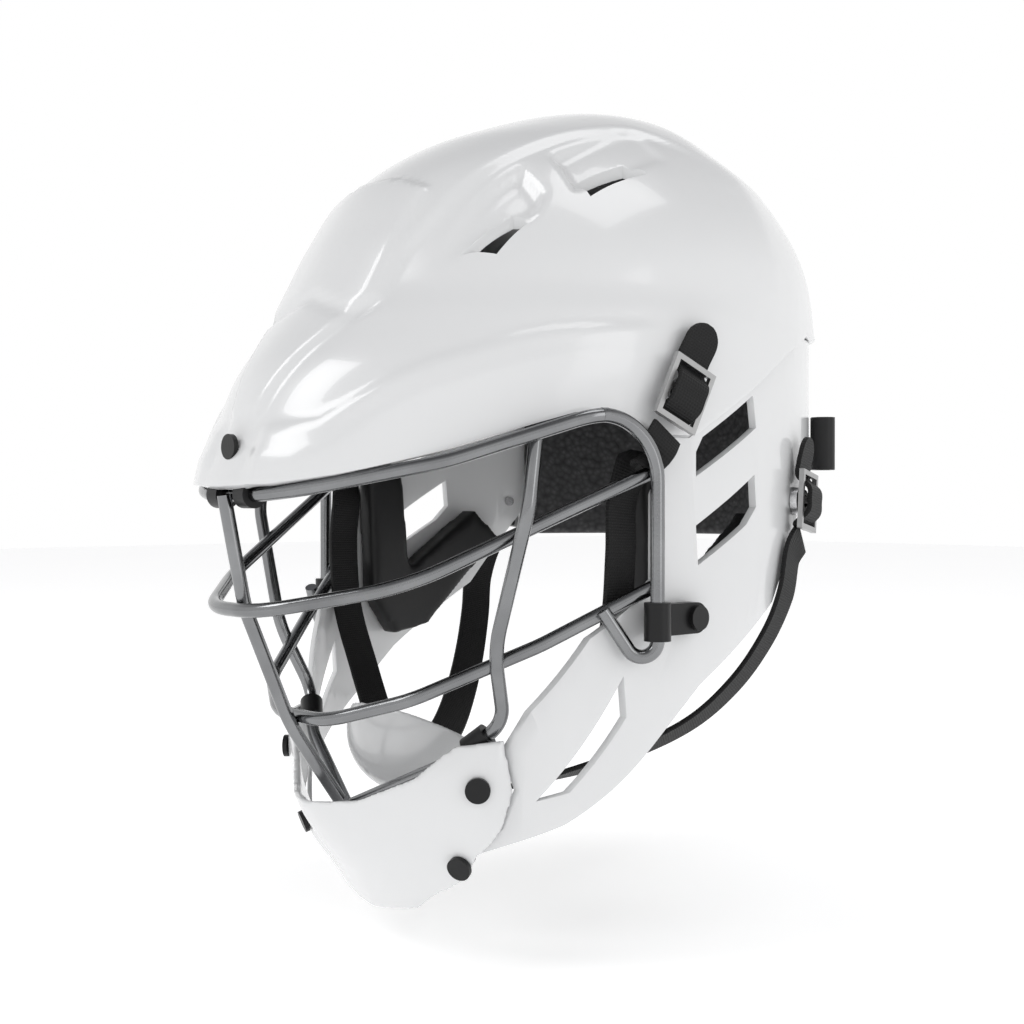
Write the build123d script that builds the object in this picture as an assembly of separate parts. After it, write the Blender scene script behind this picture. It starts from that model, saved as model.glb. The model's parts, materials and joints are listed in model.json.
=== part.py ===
from build123d import *
import os
from math import cos, pi, radians, sin

# Lacrosse helmet with a welded wire face cage, chin guard, liner and chin-cup straps.
# Frame, in millimetres: the helmet faces -Y, +X is the wearer's left, +Z is up.
# The origin is inside the head, at eye level: the point where the head holds the helmet.

# ---- driving dimensions -------------------------------------------------------------
wall = 3.0                # thickness of the moulded shells
half_width = 89.0         # widest half width of the dome
dome_top = 148.5          # top of the dome over the origin
brim_z = 8.0              # lowest level of the visor's lip
visor_front = 123.0       # reach of the visor's lip in front of the origin
rear_reach = 129.0        # reach of the dome behind the origin
middle_y = 20.0           # where the dome is widest
shell_gap = 0.5           # air between the dome and the lower shell tucked under it
nape_reach = 131.0        # reach of the lower shell behind the origin
lip_top = 68.0            # top of the lip that the lower shell pushes up inside the dome
chin_tip = 85.0           # reach of the chin guard in front of the origin
chin_bottom = -134.0      # lowest level of the chin guard
jaw_half_width = 57.0     # half width where the jaw meets the chin guard
jaw_joint_y = -52.0       # where the jaw meets the chin guard
wire_d = 4.5              # cage rod
weld_sink = 0.25          # how deep one rod is welded into the next
cage_half_width = 91.0    # centre of the rods at the sides of the cage
side_rod_y = -20.5
brow_y = -116.0           # the brow rod where it crosses under the visor's lip
brow_z = 6.0
chin_bend = (40.0, -61.0, -79.0)  # where the drop bars turn in under the chin
pad_gap = 0.5             # air between the shells and the liner pads
pad_thickness = 14.0      # liner pads of the dome
jaw_pad_thickness = 10.0
webbing_width = 13.0      # chin strap webbing
webbing_thickness = 1.8
buckle_length = 21.0      # slider buckle, along the strap
buckle_rim = 1.8          # thickness of the buckle's bars
stud_d = 10.0             # snap studs on the shells
stud_height = 2.5
socket_d = 8.0            # snap socket under a buckle
socket_height = 1.6
screw_d = 4.0             # shank of every screw
screw_head_d = 8.0
screw_head_height = 1.6
rivet_d = 5.0             # shank of the chin guard's push rivets
rivet_head_d = 8.0
clip_wall = 2.0           # plastic round the cage rods
clip_height = 12.0        # side clips, along the rod
clearance = 0.3           # free gap round a moving fit
seat_gap = 0.2            # air under the heads and studs that are screwed down
tail_travel = 10.0        # slide of the rear fit adjuster

# ---- places that pieces share, as (y, z) on the wearer's left side ---------------------
front_stud = (-8.0, 38.0)
rear_stud = (66.0, 4.0)
front_strap_tilt = 25.0   # lean of the buckle on its stud, from upright
rear_strap_tilt = 8.0
side_clip_z = -33.5
side_screw_y = 0.0
visor_screw_z = 21.0
chin_rivets = ((-62.0, -86.0), (-61.0, -112.0))
seam = ((-30, 25), (2, 25), (8, 29), (27, 40), (52, 55), (75, 64), (140, 65))
chin_joint = ((-52.5, -75), (-50, -87), (-53, -99), (-58, -108))  # jaw meets chin guard
forehead_z = 66.0         # seam between visor and crown at the forehead
visor_end_z = 57.0        # the same seam at the ears

# ---- dome sections: share of height, of front, of rear and of half width, and a shift in y --
dome_levels = (
    (0.000, 1.000, 1.025, 0.973, 0.0),
    (0.121, 0.936, 1.015, 0.989, 0.0),
    (0.263, 0.860, 1.000, 1.000, 0.0),
    (0.413, 0.725, 0.978, 1.000, 2.0),
    (0.584, 0.610, 0.913, 0.956, 5.0),
    (0.740, 0.484, 0.780, 0.824, 8.0),
    (0.854, 0.300, 0.610, 0.659, 12.0),
    (0.925, 0.110, 0.470, 0.505, 15.0),
    (0.968, -0.020, 0.370, 0.363, 15.0),
    (1.000, -0.100, 0.340, 0.200, 15.0),
)


def egg(z, front, rear, half, centre, inset):
    """Closed egg-shaped section at one level: two half ellipses joined at the widest place."""
    count = 28
    points = []
    for step in range(count):
        turn = 2 * pi * step / count
        reach = (rear - centre if sin(turn) > 0 else front + centre) - inset
        points.append((max(half - inset, 2.0) * cos(turn), centre + reach * sin(turn), z))
    return make_face(Spline(points, periodic=True))


def dome(inset):
    """Solid dome from under the brim to the top, drawn in by the inset all round."""
    height = dome_top - brim_z - inset
    sections = []
    for share, front, rear, half, shift in dome_levels:
        if half * half_width < 2 * inset:
            break
        sections.append(egg(brim_z + share * height, front * visor_front, rear * rear_reach,
                            half * half_width, middle_y + shift, inset))
    skirt = extrude(sections[0], amount=-12.0) if inset else None
    solid = loft(sections)
    return solid + skirt if skirt else solid


def side_prism(outline, reach=140.0):
    """Prism across the whole helmet from an outline drawn in the (y, z) side view."""
    face = make_face(Plane.YZ * Polyline(*outline, close=True))
    return extrude(face, amount=reach, both=True)


def front_prism(outline, near=-140.0, far=140.0):
    """Prism from front to back from an outline drawn in the (x, z) front view."""
    face = make_face(Plane((0, near, 0), x_dir=(1, 0, 0), z_dir=(0, 1, 0)) * Polyline(
        *[(x, -z) for x, z in outline], close=True))
    return extrude(face, amount=far - near)


def block(x, y, z):
    """Axis-aligned block between three pairs of limits."""
    size = [limits[1] - limits[0] for limits in (x, y, z)]
    middle = [(limits[0] + limits[1]) / 2 for limits in (x, y, z)]
    return Pos(*middle) * Box(*size)


def mirror_x(shape):
    return mirror(shape, about=Plane.YZ)


def keep(name, *solids):
    """Write one node: its solids stay separate inside one file."""
    shapes = [solid for shape in solids for solid in shape.solids()]
    shape = shapes[0] if len(shapes) == 1 else Compound(children=shapes)
    shape.label = name
    export_step(shape, f"parts/{name}.step")
    return shape


def keep_pair(name, left):
    keep(f"{name}_left", left)
    keep(f"{name}_right", mirror_x(left))


def rod(points, radii):
    """Cage rod: straight runs joined by tangent arcs, one radius for each inner point."""
    path = FilletPolyline(*points, radius=radii)
    start = Plane(origin=path @ 0, z_dir=path % 0)
    return sweep(start * Circle(wire_d / 2), path)


def across(points):
    """Complete a rod's route: the left half, then its mirror image."""
    left = list(points)
    start = 1 if left[0][0] == 0 else 0
    return [(-x, y, z) for x, y, z in reversed(left[start:])] + left


def band(stations, width=webbing_width, thickness=webbing_thickness):
    """Flat webbing through stations of (point, outward normal), as one ruled solid."""
    sections = []
    last = len(stations) - 1
    for index, (point, normal) in enumerate(stations):
        before = Vector(*stations[max(index - 1, 0)][0])
        after = Vector(*stations[min(index + 1, last)][0])
        along = (after - before).normalized()
        side = along.cross(Vector(*normal)).normalized()
        sections.append(Plane(origin=point, x_dir=side, z_dir=along) * Rectangle(width, thickness))
    return loft(sections, ruled=True)


def lower_plan(inset):
    """Egg-shaped plan of the lower shell, from the nape round the ears to the chin."""
    edge = half_width - wall - shell_gap - inset
    rear = nape_reach - inset
    half = [(0, rear)]
    for turn in (70, 50, 30, 15):
        half.append((edge * cos(radians(turn)), middle_y + (rear - middle_y) * sin(radians(turn))))
    half += [(edge, middle_y), (edge - 1.9, -6), (edge - 5, -26), (jaw_half_width + 14 - inset, -41),
             (jaw_half_width - inset, jaw_joint_y), (34 - inset, jaw_joint_y - 14),
             (12, inset / 2 - chin_tip + 7), (0, inset - chin_tip)]
    points = half + [(-x, y) for x, y in reversed(half[1:-1])]
    return make_face(Spline(points, periodic=True))


def lower_ring(outer, inner):
    """Upright wall between two insets of the lower plan, tall enough for every piece cut from it."""
    low = chin_bottom - 10
    tall = 220.0
    ring = extrude(Pos(0, 0, low) * lower_plan(outer), amount=tall)
    return ring - extrude(Pos(0, 0, low) * lower_plan(inner), amount=tall)


def surface(solid, y, z):
    """Point and outward normal of a solid's left side at one place of the side view."""
    step = 1.0
    found = []
    for dy, dz in ((0, 0), (step, 0), (0, step)):
        needle = block((0, 200), (y + dy - 0.05, y + dy + 0.05), (z + dz - 0.05, z + dz + 0.05))
        found.append(Vector((solid & needle).bounding_box().max.X, y + dy, z + dz))
    normal = (found[1] - found[0]).cross(found[2] - found[0]).normalized()
    return found[0], normal


def on_surface(solid, place):
    """Plane on a solid's left side, z outward."""
    point, normal = surface(solid, *place)
    return Plane(origin=point, z_dir=normal)


def stud_place(solid, place, tilt):
    """Plane of a buckle: origin on the stud's axis, x up the strap, z out of the shell."""
    point, out = surface(solid, *place)
    level = Vector(0, 0, 1).cross(out)
    up = Vector(0, 0, 1) * cos(radians(tilt)) + level * sin(radians(tilt))
    return Plane(origin=point + out * buckle_lift, x_dir=up, z_dir=out)


outer_dome = dome(0)
inner_dome = dome(wall)
lower_body = extrude(Pos(0, 0, chin_bottom) * lower_plan(0), amount=200)
buckle_lift = stud_height + socket_height + buckle_rim / 2 + seat_gap
front_place = stud_place(outer_dome, front_stud, front_strap_tilt)
rear_place = stud_place(lower_body, rear_stud, rear_strap_tilt)


# ---- shells -------------------------------------------------------------------------
def crown_region():
    """Side outline of the crown: the visor's upper seam, then the seam over the lower shell."""
    return ([(-140, forehead_z + 5), (-92, forehead_z), (-14, visor_end_z), (8, visor_end_z)]
            + list(seam[2:]) + [(140, 160), (-140, 160)])


def visor_region():
    """Side outline of the visor: its lip below, the forehead seam above."""
    return [(-140, brim_z), (-118, brim_z + 0.8), (-106, 11.5), (-81, 19), (-57, 27), (-42, 31.5),
            (-29, 30), (-20, 25), (2, 25), (8, 29), (8, visor_end_z), (-14, visor_end_z),
            (-92, forehead_z), (-140, forehead_z + 5)]


def vent_holes():
    """The two pairs of vent openings, cut straight down through the crown."""
    front = [(46, -63), (52, -43), (60, -41), (54, -59)]
    rear = [(57, -26), (62, -4), (70, 0), (67, -26)]
    cuts = []
    for outline in (front, rear):
        hole = extrude(Pos(0, 0, 60) * make_face(Polyline(*outline, close=True)), amount=100)
        cuts += [hole, mirror_x(hole)]
    return cuts


def make_shells():
    shell = outer_dome - inner_dome
    visor = shell & side_prism(visor_region())
    crown = shell & side_prism(crown_region())
    for hole in vent_holes():
        crown = crown - hole
    screw = Pos(0, -visor_front, visor_screw_z) * Rot(90, 0, 0) * Cylinder(
        screw_d / 2 + clearance, 40)
    stud = front_place * Cylinder(screw_d / 2, 30)
    visor = visor - screw - stud - mirror_x(stud)
    rim = brow_z + wire_d / 2 + clip_wall + 2 * clearance
    visor = visor - block((-12, 12), (brow_y - 4.8, -100), (0, rim))
    keep("visor", visor)
    keep("crown_shell", crown)


def lower_outline():
    """Side outline of the lower shell: up the pillar, along the seam, round the nape, down the jaw."""
    lift = 5.0
    top = [(y, min(z + lift, seam[-1][1] - shell_gap)) for y, z in seam if y > 0]
    return ([(-9, 26), (-9, 14), (-13, 6), (-13, -21), (-20, -27), (-35, -39), (-48, -62)]
            + list(chin_joint)
            + [(-41, -97), (-15, -75), (7, -56), (47, -31), (60, -14), (74, 4), (90, 20)]
            + [(140, 24)] + top[::-1] + [(-6, 30)])


def make_lower_shell():
    shell = lower_ring(0, wall) & side_prism(lower_outline())
    tucked = dome(wall + shell_gap)
    lip = tucked - dome(2 * wall + shell_gap)
    lip_zone = block((-100, 100), (58, 140), (seam[-1][1] - wall - 4, lip_top))
    shelf_zone = block((-100, 100), (58, 140), (seam[-1][1] - wall - 4, seam[-1][1] - 4))
    shelf = (lower_body & shelf_zone) - dome(2 * wall + shell_gap)
    shell = shell + shelf + (lip & lip_zone)
    above = [(y, z - shell_gap) for y, z in seam] + [(140, 160), (-30, 160)]
    shell = shell - ((outer_dome - tucked) & side_prism(above))
    shell = shell - block((-40, 40), (-140, -30), (-150, 100))
    upper_window = [(5, 12), (5, 20), (8, 25), (34, 40), (36, 29)]
    lower_window = [(5, -4), (35, 13), (36, 2), (30, -4), (6, -17)]
    slot = [(-25, -51), (-24, -64), (-40, -87), (-47, -90)]
    for outline in (upper_window, lower_window, slot):
        shell = shell - side_prism(outline)
    hole = Rot(0, 90, 0) * Cylinder(screw_d / 2 + clearance, 300)
    shell = shell - Pos(0, side_screw_y, side_clip_z) * hole
    stud = rear_place * Cylinder(screw_d / 2, 30)
    shell = shell - stud - mirror_x(stud)
    keep("lower_shell", shell)


def chin_plan(z, tip, half, inset):
    """U-shaped plan of the chin guard at one level, closed across its back."""
    back = jaw_joint_y + 4
    depth = tip + back
    shares = ((1.0, 0.0), (0.95, 0.27), (0.62, 0.53), (0.25, 0.87))
    left = [((half - inset) * across, back - (depth - inset) * along) for across, along in shares]
    points = left + [(0, inset - tip)] + [(-x, y) for x, y in reversed(left)]
    curve = Spline(*points)
    return Pos(0, 0, z) * make_face([curve, Line(points[-1], points[0])])


def chin_body(inset):
    return loft([chin_plan(-66, chin_tip, jaw_half_width, inset),
                 chin_plan(-104, chin_tip, jaw_half_width - 1, inset),
                 chin_plan(-120, chin_tip - 13, jaw_half_width - 5, inset),
                 chin_plan(chin_bottom - 4, chin_tip - 24, jaw_half_width - 11, inset)])


def make_chin_guard():
    inner = chin_body(wall)
    inner = inner + Pos(0, 3, 0) * inner
    guard = chin_body(0) - inner
    top = [(-jaw_half_width - 5, -70), (-46, -73), (-34, -84), (-18, -92), (0, -94)]
    bottom = [(0, chin_bottom), (26, -130), (45, -119), (jaw_half_width + 5, -104)]
    outline = top + [(-x, z) for x, z in reversed(top[:-1])]
    outline += [(x, z) for x, z in reversed(bottom)] + [(-x, z) for x, z in bottom[1:]]
    guard = guard & front_prism(outline)
    behind = [(y - 2 * shell_gap, z) for y, z in chin_joint]
    behind = [(behind[0][0] - 1, -60)] + behind + [(behind[-1][0], -140), (0, -140), (0, -60)]
    guard = guard - side_prism(behind)
    outer = chin_body(0)
    for place in chin_rivets:
        hole = on_surface(outer, place) * Cylinder(rivet_d / 2 + 0.1, 20)
        guard = guard - hole - mirror_x(hole)
    keep("chin_guard", guard)


# ---- cage ---------------------------------------------------------------------------
def make_cage():
    """Welded cage: perimeter rod, two bars across, one down the middle and two drop bars."""
    step = wire_d - weld_sink
    side = cage_half_width
    brow = across([(14, brow_y, brow_z), (30, -111, 7.5), (62, -81, 16), (86, -44, 30),
                   (side, side_rod_y, 31), (side, side_rod_y, -56), (81, -34.5, -30)])
    bends = [5, 20, 24, 40, 40, 20]
    keep("brow_wire", rod(brow, bends + bends[::-1]))
    upper = across([(14, -117, -30), (50, -88, -22), (side - step, side_rod_y + 2.5, 13.3)])
    keep("upper_bar", rod(upper, [60, 30, 30, 60]))
    lower = across([(14, -92, -66), (40, -78, -58), (66, -47, -41), (side - step, side_rod_y + 2.5, -23)])
    keep("lower_bar", rod(lower, [60, 30, 30, 30, 30, 60]))
    centre = [(0, brow_y - step, brow_z), (0, -117, -10), (0, -117 + step, -30), (0, -92 - step, -68),
              (0, -77, -95)]
    keep("centre_bar", rod(centre, [40, 40, 60]))
    drop = [(73.8, -55.8, 24.5), (76, -61, 2), (61, -61.5, -42), (54.5, -52, -66), chin_bend,
            (wire_d / 2, -73, -97)]
    keep_pair("drop_bar", rod(drop, [20, 40, 12, 40]))


# ---- clips and fasteners --------------------------------------------------------------
def ring(radius_in, radius_out, height):
    return Cylinder(radius_out, height) - Cylinder(radius_in, height + 1)


def make_brow_clip():
    """Two loops round the brow rod on one tab, held by the visor screw."""
    hole = wire_d / 2 + 0.02
    width = 6.0
    low, high = brow_z, brow_z + wire_d / 2 + clip_wall
    clip = block((-11, 11), (-109, -106.5), (low, visor_screw_z + 4.5))
    for x in (-8, 8):
        clip = clip + Pos(x, brow_y, brow_z) * Rot(0, 90, 0) * Cylinder(hole + clip_wall, width)
        clip = clip + block((x - width / 2, x + width / 2), (brow_y, -107), (low, high))
    clip = clip - Pos(0, 0, visor_screw_z) * Rot(90, 0, 0) * Cylinder(screw_d / 2, 300)
    clip = clip - Pos(0, brow_y, brow_z) * Rot(0, 90, 0) * Cylinder(hole, 40)
    keep("brow_clip", clip)


def make_side_clips():
    """Band folded round the side rod and screwed to the jaw, with its screw and nut plate."""
    shell_x = half_width - wall - shell_gap
    low = side_clip_z - clip_height / 2
    high = side_clip_z + clip_height / 2
    centre = Pos(cage_half_width, side_rod_y, side_clip_z)
    loop = centre * Cylinder(wire_d / 2 + clip_wall, clip_height)
    ear = block((shell_x + 0.1, shell_x + 2 * clip_wall), (-18, side_screw_y), (low + 1, high - 1))
    rounded = Pos(shell_x + clip_wall + 0.05, side_screw_y, side_clip_z) * Rot(0, 90, 0)
    ear = ear + rounded * Cylinder(clip_height / 2 - 1, 2 * clip_wall - 0.1)
    clip = loop + ear - centre * Cylinder(wire_d / 2 + 0.02, clip_height + 1)
    clip = clip - rounded * Cylinder(screw_d / 2, 20)
    keep_pair("side_clip", clip)
    head = Pos(shell_x + 2 * clip_wall + screw_head_height / 2, side_screw_y, side_clip_z)
    screw = head * Rot(0, 90, 0) * Cylinder(screw_head_d / 2, screw_head_height)
    shank = shell_x + 2 * clip_wall - 12
    screw = screw + Pos(shank + 6, side_screw_y, side_clip_z) * Rot(0, 90, 0) * Cylinder(
        screw_d / 2 - 0.05, 12)
    keep("side_clip_screws", screw, mirror_x(screw))
    nut = Pos(shell_x - wall - 2.9, side_screw_y, side_clip_z) * Rot(0, 90, 0) * ring(
        screw_d / 2, 5.5, 2.0)
    keep("side_clip_nuts", nut, mirror_x(nut))


def make_visor_screw():
    head_y = -visor_front * 0.948 - screw_head_height
    screw = Pos(0, head_y, visor_screw_z) * Rot(90, 0, 0) * Cylinder(screw_head_d / 2, screw_head_height)
    shank = Pos(0, head_y + 6, visor_screw_z) * Rot(90, 0, 0) * Cylinder(screw_d / 2 - 0.05, 12)
    keep("visor_screw", screw + shank)


def make_chin_clips():
    """Sleeve round each drop bar over the chin guard, with a tab down inside the guard."""
    bend = Vector(*chin_bend)
    axis = (Vector(54.5, -52, -66) - bend).normalized()
    place = Plane(origin=bend + axis * 10.6, z_dir=axis)
    sleeve = place * Cylinder(wire_d / 2 + 1.8, 8.4) - place * Cylinder(wire_d / 2 + 0.02, 14)
    keep_pair("chin_clip", sleeve)


def make_chin_rivets():
    """Push rivets through the sides of the chin guard into its mounting lugs."""
    outer = chin_body(0)
    length = wall + 4
    for name, spot in zip(("chin_rivets_upper", "chin_rivets_lower"), chin_rivets):
        place = on_surface(outer, spot)
        head = Pos(0, 0, seat_gap + 0.8) * Cylinder(rivet_head_d / 2, 1.6)
        shank = Pos(0, 0, seat_gap + 1 - length / 2) * Cylinder(rivet_d / 2, length)
        rivet = place * (head + shank)
        keep(name, rivet, mirror_x(rivet))


# ---- liner ----------------------------------------------------------------------------
def make_dome_pads():
    """Foam pads inside the dome, each cut from one layer that lies under the shell."""
    layer = dome(wall + pad_gap) - dome(wall + pad_gap + pad_thickness)
    keep("brow_pad", layer & block((-48, 48), (-130, -40), (36, 62)))
    keep("crown_pad", layer & block((-34, 34), (-38, 82), (118, 150)))
    keep("rear_pad", layer & block((-44, 44), (70, 130), (lip_top + 2, 112)))
    keep_pair("side_pad", layer & block((50, 100), (-8, 62), (lip_top + 2, 104)))


def make_jaw_pads():
    """L-shaped pads behind the pillars and jaws."""
    outer = wall + pad_gap
    layer = lower_ring(outer, outer + jaw_pad_thickness) & block((20, 100), (-60, 90), (-60, 30))
    outline = [(-13, 16), (4, 16), (8, -24), (42, 0), (54, -12), (18, -47), (0, -50), (-11, -34)]
    shell_x = half_width - wall - shell_gap
    pocket = Pos(shell_x - wall, side_screw_y, side_clip_z) * Rot(0, 90, 0) * Cylinder(6.5, 14)
    keep_pair("jaw_pad", (layer & side_prism(outline)) - pocket)


def make_fit_tail():
    """Rear fit adjuster: a stiff plate under the nape with the pad that it carries."""
    outer = wall + 2 * clearance
    inner = outer + 2.5
    plate = lower_ring(outer, inner) & block((-90, 90), (84, 140), (10, 46))
    keep("fit_tail", plate)
    pad = lower_ring(inner + clearance, inner + clearance + 9) & block((-90, 90), (68, 140), (-10, 50))
    keep("nape_pad", pad)


def make_fit_straps():
    """Webbing of the fit adjuster, folded into a pull loop at each side of the nape."""
    point, out = surface(lower_body, 100, 30)
    place = Plane(origin=point + Vector(0, 0, 6), x_dir=(-out.Y, out.X, 0), z_dir=(0, 0, -1))
    outer = RectangleRounded(13, 9, 4.2)
    inner = RectangleRounded(13 - 2 * webbing_thickness, 9 - 2 * webbing_thickness, 2.4)
    loop = extrude(place * Pos(0, 5.2, 0) * (outer - inner), amount=20)
    keep_pair("fit_strap", loop)


# ---- harness --------------------------------------------------------------------------
def make_chin_cup():
    """Hard cup under the chin with a soft pad inside it."""
    place = Pos(0, -46, -74) * Rot(-28, 0, 0)
    outer = scale(Sphere(1), by=(27, 20, 23))
    middle = scale(Sphere(1), by=(25, 18, 21))
    inner = scale(Sphere(1), by=(21.5, 14.5, 17.5))
    lower_half = Pos(0, 0, -20) * Box(80, 80, 40)
    keep("chin_cup", place * ((outer - middle) & lower_half))
    pad_limit = Pos(0, 0, -21) * Box(80, 80, 40)
    shrunk = scale(Sphere(1), by=(24.7, 17.7, 20.7))
    keep("chin_cup_pad", place * ((shrunk - inner) & pad_limit))


def make_buckle(name, place, tail):
    """Snap stud, socket, slider buckle and strap tail at one place on the wearer's left."""
    bar = buckle_rim
    half = buckle_length / 2
    inside = webbing_width + 2 * clearance
    frame = Box(buckle_length, inside + 2 * bar, bar)
    slot = (buckle_length - 3 * bar) / 2
    for side in (-1, 1):
        frame = frame - Pos(side * (slot + bar) / 2, 0, 0) * Box(slot, inside, 2 * bar)
    keep_pair(f"{name}_buckle", place * frame)
    low = -bar / 2 - socket_height
    socket = Pos(0, 0, low + socket_height / 2) * (
        Cylinder(socket_d / 2, socket_height) - Cylinder(2.3, 2 * socket_height))
    keep_pair(f"{name}_socket", place * socket)
    disc = Pos(0, 0, low - stud_height / 2 - 0.1) * Cylinder(stud_d / 2, stud_height)
    pin = Pos(0, 0, low + 0.4) * Cylinder(2.2, 1.4)
    shank = Pos(0, 0, low - stud_height - 2) * Cylinder(screw_d / 2 - 0.05, 4.5)
    stud = place * (disc + pin + shank)
    keep(f"{name}_studs", stud, mirror_x(stud))
    gap = bar / 2 + webbing_thickness / 2 + clearance
    route = [(half + tail, -0.6), (half + 2.5, -gap), (half - 2.2, -gap), (half - 6.2, gap),
             (6.2 - half, gap), (2.2 - half, -gap), (1.2 - half, -gap)]
    stations = []
    for index, (u, w) in enumerate(route):
        before = route[max(index - 1, 0)]
        after = route[min(index + 1, len(route) - 1)]
        along = Vector(after[0] - before[0], 0, after[1] - before[1]).normalized()
        normal = along.cross(Vector(0, -1, 0))
        stations.append((place.from_local_coords(Vector(u, 0, w)), normal))
    world = []
    for point, normal in stations:
        world.append((tuple(point), tuple(place.from_local_coords(normal) - place.origin)))
    keep_pair(f"{name}_strap_tail", band(world))


def strap_start(place):
    """Where the strap leaves the buckle, just under its lower bar."""
    drop = buckle_rim / 2 + webbing_thickness / 2 + clearance
    return tuple(place.from_local_coords(Vector(-buckle_length / 2 - 3.0, 0, -drop)))


def make_harness():
    make_buckle("front", front_place, 14.0)
    make_buckle("rear", rear_place, 12.5)
    keep_pair("front_strap", band([
        (strap_start(front_place), (1, -0.15, 0)), ((88.5, -18, 20.5), (1, -0.1, 0.3)),
        ((80, -19, 15.5), (0.7, 0, 0.7)), ((76, -21, 4), (1, 0, 0)), ((76.5, -22, -13), (1, 0, 0)),
        ((73.5, -22, -38), (0.95, 0, -0.25)), ((62, -22, -62), (0.8, 0, -0.6)),
        ((45, -28, -78), (0.55, -0.1, -0.83)), ((30, -38, -86), (0.4, -0.2, -0.9))]))
    keep_pair("rear_strap", band([
        (strap_start(rear_place), (0.94, 0.33, 0)), ((82.3, 59, -15), (0.95, 0.3, 0)),
        ((83.1, 54, -29), (0.95, 0.3, 0)), ((79, 49, -44), (0.9, 0.25, -0.3)),
        ((72, 40, -60), (0.85, 0.2, -0.5)), ((62, 27, -74), (0.7, 0.1, -0.7)), ((47, 8, -85), (0.55, 0, -0.83)),
        ((32, -14, -92), (0.4, 0.1, -0.9)), ((20, -30, -96), (0.3, 0.2, -0.9))]))


if __name__ == "__main__":
    os.makedirs("parts", exist_ok=True)
    make_shells()
    make_lower_shell()
    make_chin_guard()
    make_cage()
    make_brow_clip()
    make_side_clips()
    make_visor_screw()
    make_chin_clips()
    make_chin_rivets()
    make_dome_pads()
    make_jaw_pads()
    make_fit_tail()
    make_fit_straps()
    make_chin_cup()
    make_harness()
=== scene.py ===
# %% [markdown]
# # A lacrosse helmet with a welded wire cage
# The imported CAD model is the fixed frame: every size and place below is read from it or repeats it.
# The moulded shells, the straps and the foam are made again here with their creases, rounded rims
# and soft shapes. The cage rods, buckles, studs, screws and pull loops keep their CAD shape and get
# a finish.

# %% Load the frame
import json
from math import asin, cos, pi, radians, sin

import bpy
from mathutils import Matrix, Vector

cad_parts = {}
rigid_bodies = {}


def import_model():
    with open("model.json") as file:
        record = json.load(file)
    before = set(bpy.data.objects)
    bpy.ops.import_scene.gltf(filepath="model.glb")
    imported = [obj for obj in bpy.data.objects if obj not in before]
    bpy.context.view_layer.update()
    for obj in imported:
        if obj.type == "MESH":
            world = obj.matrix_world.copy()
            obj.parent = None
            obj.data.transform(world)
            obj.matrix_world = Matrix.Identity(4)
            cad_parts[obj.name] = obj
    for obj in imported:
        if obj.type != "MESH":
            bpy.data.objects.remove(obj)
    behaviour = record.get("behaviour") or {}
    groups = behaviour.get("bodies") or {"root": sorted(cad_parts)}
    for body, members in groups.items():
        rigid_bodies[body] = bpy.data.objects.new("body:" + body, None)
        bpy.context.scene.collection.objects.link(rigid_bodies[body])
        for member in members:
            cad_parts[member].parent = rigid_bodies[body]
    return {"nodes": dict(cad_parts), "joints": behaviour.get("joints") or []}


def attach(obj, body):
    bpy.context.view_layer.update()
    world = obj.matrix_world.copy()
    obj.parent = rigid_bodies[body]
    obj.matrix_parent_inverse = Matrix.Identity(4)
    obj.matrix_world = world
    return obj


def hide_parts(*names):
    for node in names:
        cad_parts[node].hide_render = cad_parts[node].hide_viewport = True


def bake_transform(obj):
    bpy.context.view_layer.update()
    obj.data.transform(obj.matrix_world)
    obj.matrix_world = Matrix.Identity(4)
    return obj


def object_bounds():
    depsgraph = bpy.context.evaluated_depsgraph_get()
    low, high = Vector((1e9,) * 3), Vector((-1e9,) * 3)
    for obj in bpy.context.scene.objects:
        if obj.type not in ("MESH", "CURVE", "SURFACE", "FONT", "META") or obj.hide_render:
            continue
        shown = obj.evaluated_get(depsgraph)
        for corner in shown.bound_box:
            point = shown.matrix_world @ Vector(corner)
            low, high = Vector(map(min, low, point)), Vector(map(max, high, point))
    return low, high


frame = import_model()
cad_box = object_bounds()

MM = 0.001
nodes = frame["nodes"]
for item in bpy.data.objects:
    item.select_set(False)

# %% [markdown]
# The camera comes first. It looks at the frame's origin, inside the head, from the wearer's left
# front and level with it, with the mild perspective of a short telephoto lens.

# %% Camera
camera_data = bpy.data.cameras.new("camera")
camera_data.lens = 49.22
camera_data.sensor_width = 36
camera_data.clip_start = 0.01
camera = bpy.data.objects.new("camera", camera_data)
bpy.context.scene.collection.objects.link(camera)
azimuth, elevation, distance = radians(48.29), radians(0.43), 0.5165
camera.location = Vector((sin(azimuth) * cos(elevation), -cos(azimuth) * cos(elevation),
                          sin(elevation))) * distance
camera.rotation_euler = (-camera.location).to_track_quat("-Z", "Y").to_euler()
bpy.context.scene.camera = camera
print("camera at", [round(v, 3) for v in camera.location])


# %% [markdown]
# Shader maths reads best as plain expressions. The class below wraps a socket, and each operator
# adds the Math node that it stands for. Colours are mixed with a Mix node, never a Math node.

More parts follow.
